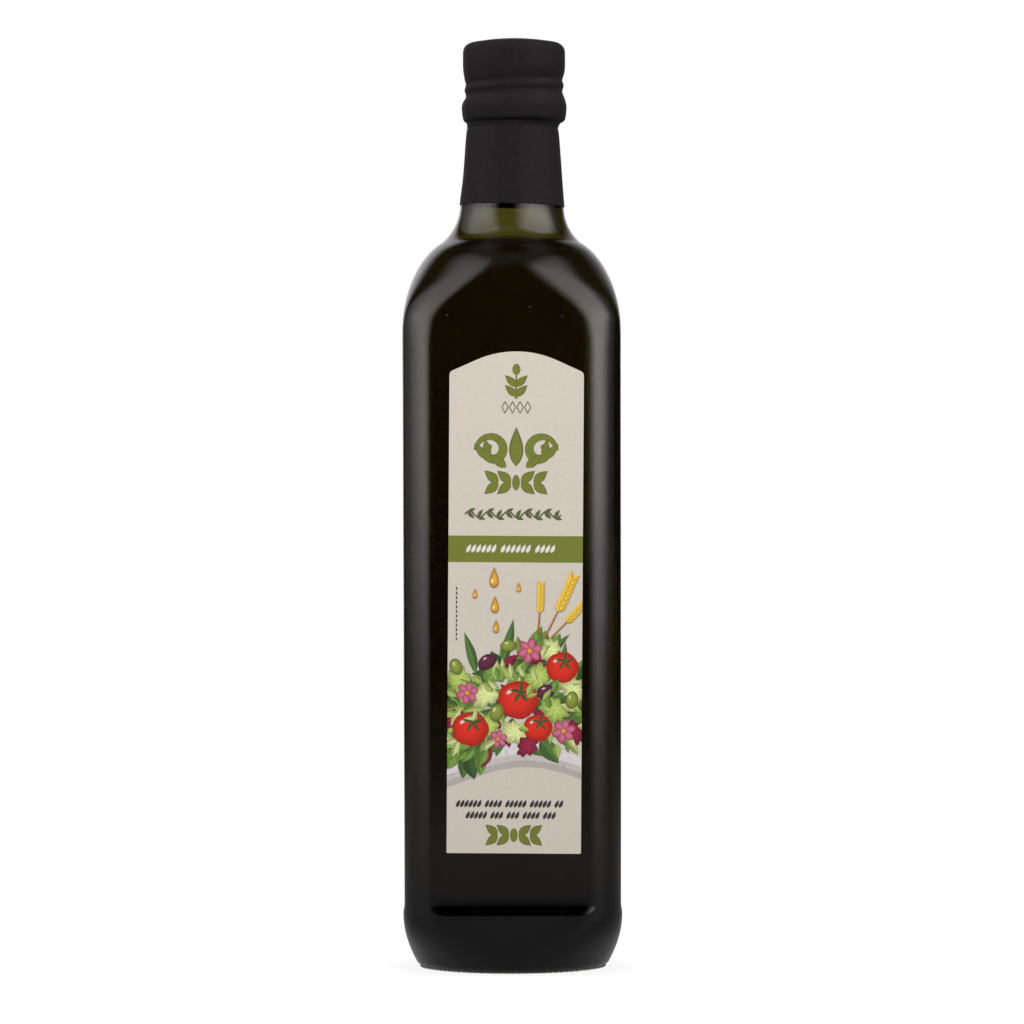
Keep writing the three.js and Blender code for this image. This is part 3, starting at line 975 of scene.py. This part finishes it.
def label_print():
    ink = Print()
    emblem(ink)
    lozenges(ink, (-3.5, -1.2, 1.1, 3.4), 136.4, 0.95, 1.8, 0.3, DARK_OLIVE)
    palmette(ink, level=124.2, height=12.4, half=13)
    laurel(ink, level=113.4, half=10.7, pairs=2)
    vine(ink, 103.6, -15.6, 13.8, 1, 2.9, 5, DARK_OLIVE, 0.5)
    ink.patch([(-PRINT_HALF, 89), (PRINT_HALF, 89), (PRINT_HALF, 97.1), (-PRINT_HALF, 97.1)], GREEN)
    leaf_line(ink, 93.1, 15, 1.55, 2.9, PAPER_WHITE)
    leaf_line(ink, 15.1, 17.7, 1.3, 2.7, CHARCOAL)
    leaf_line(ink, 11.6, 14.7, 1.3, 2.7, CHARCOAL)
    laurel(ink, level=5.6, half=9.6, pairs=2)
    for place in np.arange(65, 81, 1.4):
        flat_leaf(ink, (-18, place), math.radians(80), 1.1, CHARCOAL, 0.45)
    picture(ink)
    made = mesh_object("label_print", ink.points, ink.faces)
    colours = made.data.color_attributes.new("ink", "FLOAT_COLOR", "POINT")
    colours.data.foreach_set("color", np.array(ink.colours).ravel())
    made.data.shade_flat()
    wear(made, ink_material(), "label_paper")


# Materials

def put(tree, value, socket):
    """Links another node's outcome to a socket, or sets the socket to a number or colour."""
    if isinstance(value, bpy.types.NodeSocket):
        tree.links.new(value, socket)
    else:
        socket.default_value = value


def settle(tree, node, **values):
    """Puts values into a node's inputs, named with _ where their own names have a space."""
    for name, value in values.items():
        put(tree, value, node.inputs[name.replace("_", " ")])


def add_node(tree, kind, **values):
    node = tree.nodes.new("ShaderNode" + kind)
    settle(tree, node, **values)
    return node


def math_node(tree, operation, *values):
    """One operation on numbers or other nodes' outcomes."""
    node = add_node(tree, "Math")
    node.operation = operation
    for socket, value in zip(node.inputs, values):
        put(tree, value, socket)
    return node.outputs[0]


def mapped(tree, value, low, high, to_low=0, to_high=1, how="SMOOTHSTEP"):
    """to_low where the value is at low, and to_high where it is at high."""
    ends = {"From_Min": low, "From_Max": high, "To_Min": to_low, "To_Max": to_high}
    node = add_node(tree, "MapRange", Value=value, **ends)
    node.interpolation_type = how
    return node.outputs["Result"]


def object_place(tree):
    """Where a point lies in its piece's own frame."""
    return add_node(tree, "TexCoord").outputs["Object"]


def along_axis(tree, place, axis):
    return add_node(tree, "SeparateXYZ", Vector=place).outputs[axis]


def grain(tree, scale, detail=4):
    """Fine random unevenness, mostly within GRAIN_SPAN."""
    noise = add_node(tree, "TexNoise", Vector=object_place(tree), Scale=scale, Detail=detail)
    return noise.outputs["Fac"]


def relief(tree, shader, height, depth):
    bumps = add_node(tree, "Bump", Distance=depth, Height=height)
    settle(tree, shader, Normal=bumps.outputs["Normal"])


def mottle(tree, shader, colour, scale, low, high, depth):
    """A grain that multiplies the colour by low to high and roughens the surface."""
    fine = grain(tree, scale)
    mixed = add_node(tree, "VectorMath")
    mixed.operation = "SCALE"
    share = mapped(tree, fine, *GRAIN_SPAN, low, high, "LINEAR")
    settle(tree, mixed, Vector=colour, Scale=share)
    settle(tree, shader, Base_Color=mixed.outputs[0])
    relief(tree, shader, fine, depth)


def material_with_shader(name, **values):
    material = bpy.data.materials.new(name)
    material.use_nodes = True
    shader = material.node_tree.nodes["Principled BSDF"]
    settle(material.node_tree, shader, **values)
    return material, shader


def clear_material(name, tint, density, ior):
    """A clear solid: a smooth surface, and a colour that deepens with the way through it."""
    clear = {"Base_Color": (1, 1, 1, 1), "Roughness": 0, "Transmission_Weight": 1}
    material, shader = material_with_shader(name, IOR=ior, **clear)
    tree = material.node_tree
    inside = add_node(tree, "VolumeAbsorption", Color=(*tint, 1), Density=density)
    settle(tree, tree.nodes["Material Output"], Volume=inside.outputs["Volume"])
    return material, shader


def glass_material():
    """Bottle glass, very slightly wavy."""
    material, shader = clear_material("green_glass", GLASS_TINT, density=700, ior=1.52)
    tree = material.node_tree
    relief(tree, shader, grain(tree, 60, 0), 0.03 * MM)
    return material


def oil_material():
    """Olive oil, clear at the top and darker down the bottle; near its floor it lets almost nothing
    through, painted shade that hides light showing through the base.
    """
    material, shader = clear_material("olive_oil", OIL_TINT, density=100, ior=1.47)
    tree = material.node_tree
    share = math_node(tree, "DIVIDE", along_axis(tree, object_place(tree), "Z"), OIL_LEVEL)
    # How much light the oil passes at each height; the near-black stop by the floor is painted shade.
    see_through_and_shade = add_node(tree, "ValToRGB", Fac=share)
    see_through_and_shade.color_ramp.interpolation = "EASE"
    stops = see_through_and_shade.color_ramp.elements
    stops.remove(stops[0])
    for height, clear in OIL_SEE_THROUGH_AND_SHADE:
        stops.new(height / OIL_LEVEL).color = (clear, clear, clear, 1)
    settle(tree, shader, Base_Color=see_through_and_shade.outputs["Color"])
    return material


def matt_material(name, colour, scale, low, high, depth=0.01 * MM, **values):
    material, shader = material_with_shader(name, **values)
    mottle(material.node_tree, shader, colour, scale, low, high, depth)
    return material


def capsule_material():
    """Matt shrink film with a fine, faint grain."""
    film = {"Roughness": 0.65, "Specular_IOR_Level": 0.12}
    return matt_material("black_film", FILM_BLACK, 450, 0.85, 1.12, 0.03 * MM, **film)


# Painted glints: a pale matt colour on the bubble specks, the same from every side.
def glint_speck_material():
    return matt_material("glint_paint", PAINTED_GLINT_PALE, 3000, 0.7, 1.3, Roughness=0.3)


# Painted shade: the near-black of the pinhole's speck.
def vent_shade_material():
    return matt_material("vent_shadow", VENT_SHADE_BLACK, 900, 0.8, 1.2, Roughness=1)


def paper_material():
    return matt_material("label_paper", PAPER_CREAM, 900, 0.975, 1.02, Roughness=0.7)


def ink_material():
    """The colours laid on by the print, with the paper's grain showing through."""
    material, shader = material_with_shader("label_ink", Roughness=0.6)
    ink = add_node(material.node_tree, "VertexColor")
    ink.layer_name = "ink"
    mottle(material.node_tree, shader, ink.outputs["Color"], 1300, 0.93, 1.05, 0.01 * MM)
    return material


# The studio: white behind, two tall softboxes beside the camera, and a dim floor and ceiling

def total(tree, operation, first, *others):
    """All the values put together by one operation."""
    for other in others:
        first = math_node(tree, operation, first, other)
    return first


def window(tree, angle, closed, opened):
    """0 at the angle where a light ends, 1 where it is full, and smooth between them."""
    return mapped(tree, angle, math.radians(closed), math.radians(opened))


def softbox(tree, turn, elevation, parts, top):
    """A tall light that stands to one side, wider towards its top, where it fades and ends."""
    facing = math_node(tree, "COSINE", math_node(tree, "SUBTRACT", turn, BOX_TURN))
    facing = math_node(tree, "MULTIPLY", facing, math_node(tree, "COSINE", elevation))
    lift = math_node(tree, "ARCTAN2", math_node(tree, "SINE", elevation), facing)
    fade = math_node(tree, "MULTIPLY_ADD", window(tree, lift, *BOX_FADE), 0.55, 0.45)
    wider = math_node(tree, "MULTIPLY_ADD", elevation, BOX_WIDENING, turn)
    light = 0
    for strength, near, far in parts:
        part = total(tree, "MULTIPLY", window(tree, turn, *near), window(tree, wider, *far), strength)
        light = math_node(tree, "ADD", part, light)
    return total(tree, "MULTIPLY", light, fade, window(tree, lift, *top))


def chosen(tree, flag, when_set, otherwise):
    """One value for the rays that carry a flag, the other one for the rest."""
    difference = math_node(tree, "SUBTRACT", when_set, otherwise)
    return math_node(tree, "MULTIPLY_ADD", difference, flag, otherwise)


def studio_world():
    """The light all round, worked out from the way a ray goes. What the glass mirrors, what
    shows through it, what lights matt surfaces and what the camera sees are set apart."""
    world = bpy.data.worlds.new("studio")
    scene.world = world
    world.use_nodes = True
    world.cycles.sampling_method = "NONE"
    tree = world.node_tree
    way = add_node(tree, "TexCoord").outputs["Generated"]
    x, y, z = add_node(tree, "SeparateXYZ", Vector=way).outputs
    right = math_node(tree, "ARCTAN2", x, math_node(tree, "MULTIPLY", y, -1))
    left = math_node(tree, "MULTIPLY", right, -1)
    around = math_node(tree, "ABSOLUTE", right)
    elevation = math_node(tree, "ARCSINE", z)

    low = math_node(tree, "MULTIPLY_ADD", window(tree, elevation, *HORIZON), 0.95, 0.05)
    right_box = softbox(tree, right, elevation, RIGHT_BOX, RIGHT_BOX_TOP)
    left_box = softbox(tree, left, elevation, LEFT_BOX, LEFT_BOX_TOP)
    boxes = math_node(tree, "MULTIPLY", math_node(tree, "ADD", right_box, left_box), low)
    floor = math_node(tree, "MULTIPLY", window(tree, elevation, *FLOOR_EDGE), 0.23)
    ceiling = window(tree, elevation, *CEILING_FRONT)
    ceiling = total(tree, "MULTIPLY", ceiling, window(tree, elevation, *CEILING_BACK), 0.13)
    dim = total(tree, "ADD", boxes, floor, ceiling, 0.015)
    wall = math_node(tree, "ADD", window(tree, left, *WALL_LEFT), window(tree, right, *WALL_RIGHT))
    wall = total(tree, "MULTIPLY", wall, window(tree, elevation, *WALL_TOP), low)
    mirrored = math_node(tree, "ADD", dim, wall)
    seen_through = math_node(tree, "ADD", dim, window(tree, around, *SEEN_THROUGH))
    fill = math_node(tree, "MULTIPLY_ADD", window(tree, elevation, *FILL_RISE), 0.23, 0.11)

    path = add_node(tree, "LightPath")
    light = chosen(tree, path.outputs["Is Transmission Ray"], seen_through, mirrored)
    light = chosen(tree, path.outputs["Is Diffuse Ray"], fill, light)
    light = chosen(tree, path.outputs["Is Camera Ray"], 1, light)
    green = chosen(tree, path.outputs["Is Camera Ray"], 1, 0.965)
    tint = add_node(tree, "CombineColor", Red=1, Green=green, Blue=1)
    settle(tree, tree.nodes["Background"], Color=tint.outputs["Color"], Strength=light)


def key_lamp(name, side):
    """A soft lamp that lights matt surfaces and is in no reflection."""
    data = bpy.data.lights.new(name, "AREA")
    data.shape = "DISK"
    data.size = KEY_SIZE
    data.energy = KEY_POWER
    lamp = in_scene(name, data)
    lamp.location = (side * KEY_PLACE[0], *KEY_PLACE[1:])
    way = Vector(KEY_TARGET) - lamp.location
    lamp.rotation_euler = way.to_track_quat("-Z", "Y").to_euler()
    lamp.visible_camera = False
    lamp.visible_glossy = False
    lamp.visible_transmission = False


def floor_material():
    """A glowing white like the wall behind it, with a painted contact shadow: a little darker close to
    what stands on it. Seen through the glass it is dark, painted shade, and only white far behind the
    bottle."""
    material = bpy.data.materials.new("studio_floor")
    material.use_nodes = True
    tree = material.node_tree
    tree.nodes.clear()
    # Painted contact shadow: ambient occlusion dims the floor's glow near the bottle.
    painted_shadow_occlusion = add_node(tree, "AmbientOcclusion", Distance=FLOOR_SHADE_REACH)
    strength = math_node(tree, "MULTIPLY_ADD", painted_shadow_occlusion.outputs["AO"], 0.16, 0.87)
    # Painted shade seen through the glass: dark near and in front of the bottle, white far behind it.
    far = mapped(tree, along_axis(tree, object_place(tree), "Y"), *FLOOR_WHITENS)
    path = add_node(tree, "LightPath")
    strength = chosen(tree, path.outputs["Is Transmission Ray"], far, strength)
    glow = add_node(tree, "Emission", Strength=strength)
    add_node(tree, "OutputMaterial", Surface=glow.outputs["Emission"])
    return material


def studio_floor():
    reach = 20
    corners = [(-reach, -reach, 0), (reach, -reach, 0), (reach, reach, 0), (-reach, reach, 0)]
    floor = mesh_object("studio_floor", corners, [(0, 1, 2, 3)])
    floor.data.materials.append(floor_material())
    floor.visible_glossy = False
    floor.visible_diffuse = False


def studio_camera():
    data = bpy.data.cameras.new("camera")
    data.lens = CAMERA_LENS
    camera = in_scene("camera", data)
    camera.location = (0, -CAMERA_DISTANCE, CAMERA_HEIGHT)
    camera.rotation_euler = (math.pi / 2, CAMERA_ROLL, 0)
    scene.camera = camera


glass_bottle()
heel_nubs()
painted_glint_specks()
oil_fill()
capsule()
painted_vent_shade()
label_paper()
label_print()
studio_world()
key_lamp("key_left", -1)
key_lamp("key_right", 1)
studio_floor()
studio_camera()
scene.view_settings.view_transform = "Standard"
scene.cycles.max_bounces = 24
scene.cycles.transmission_bounces = 24
scene.cycles.glossy_bounces = 12
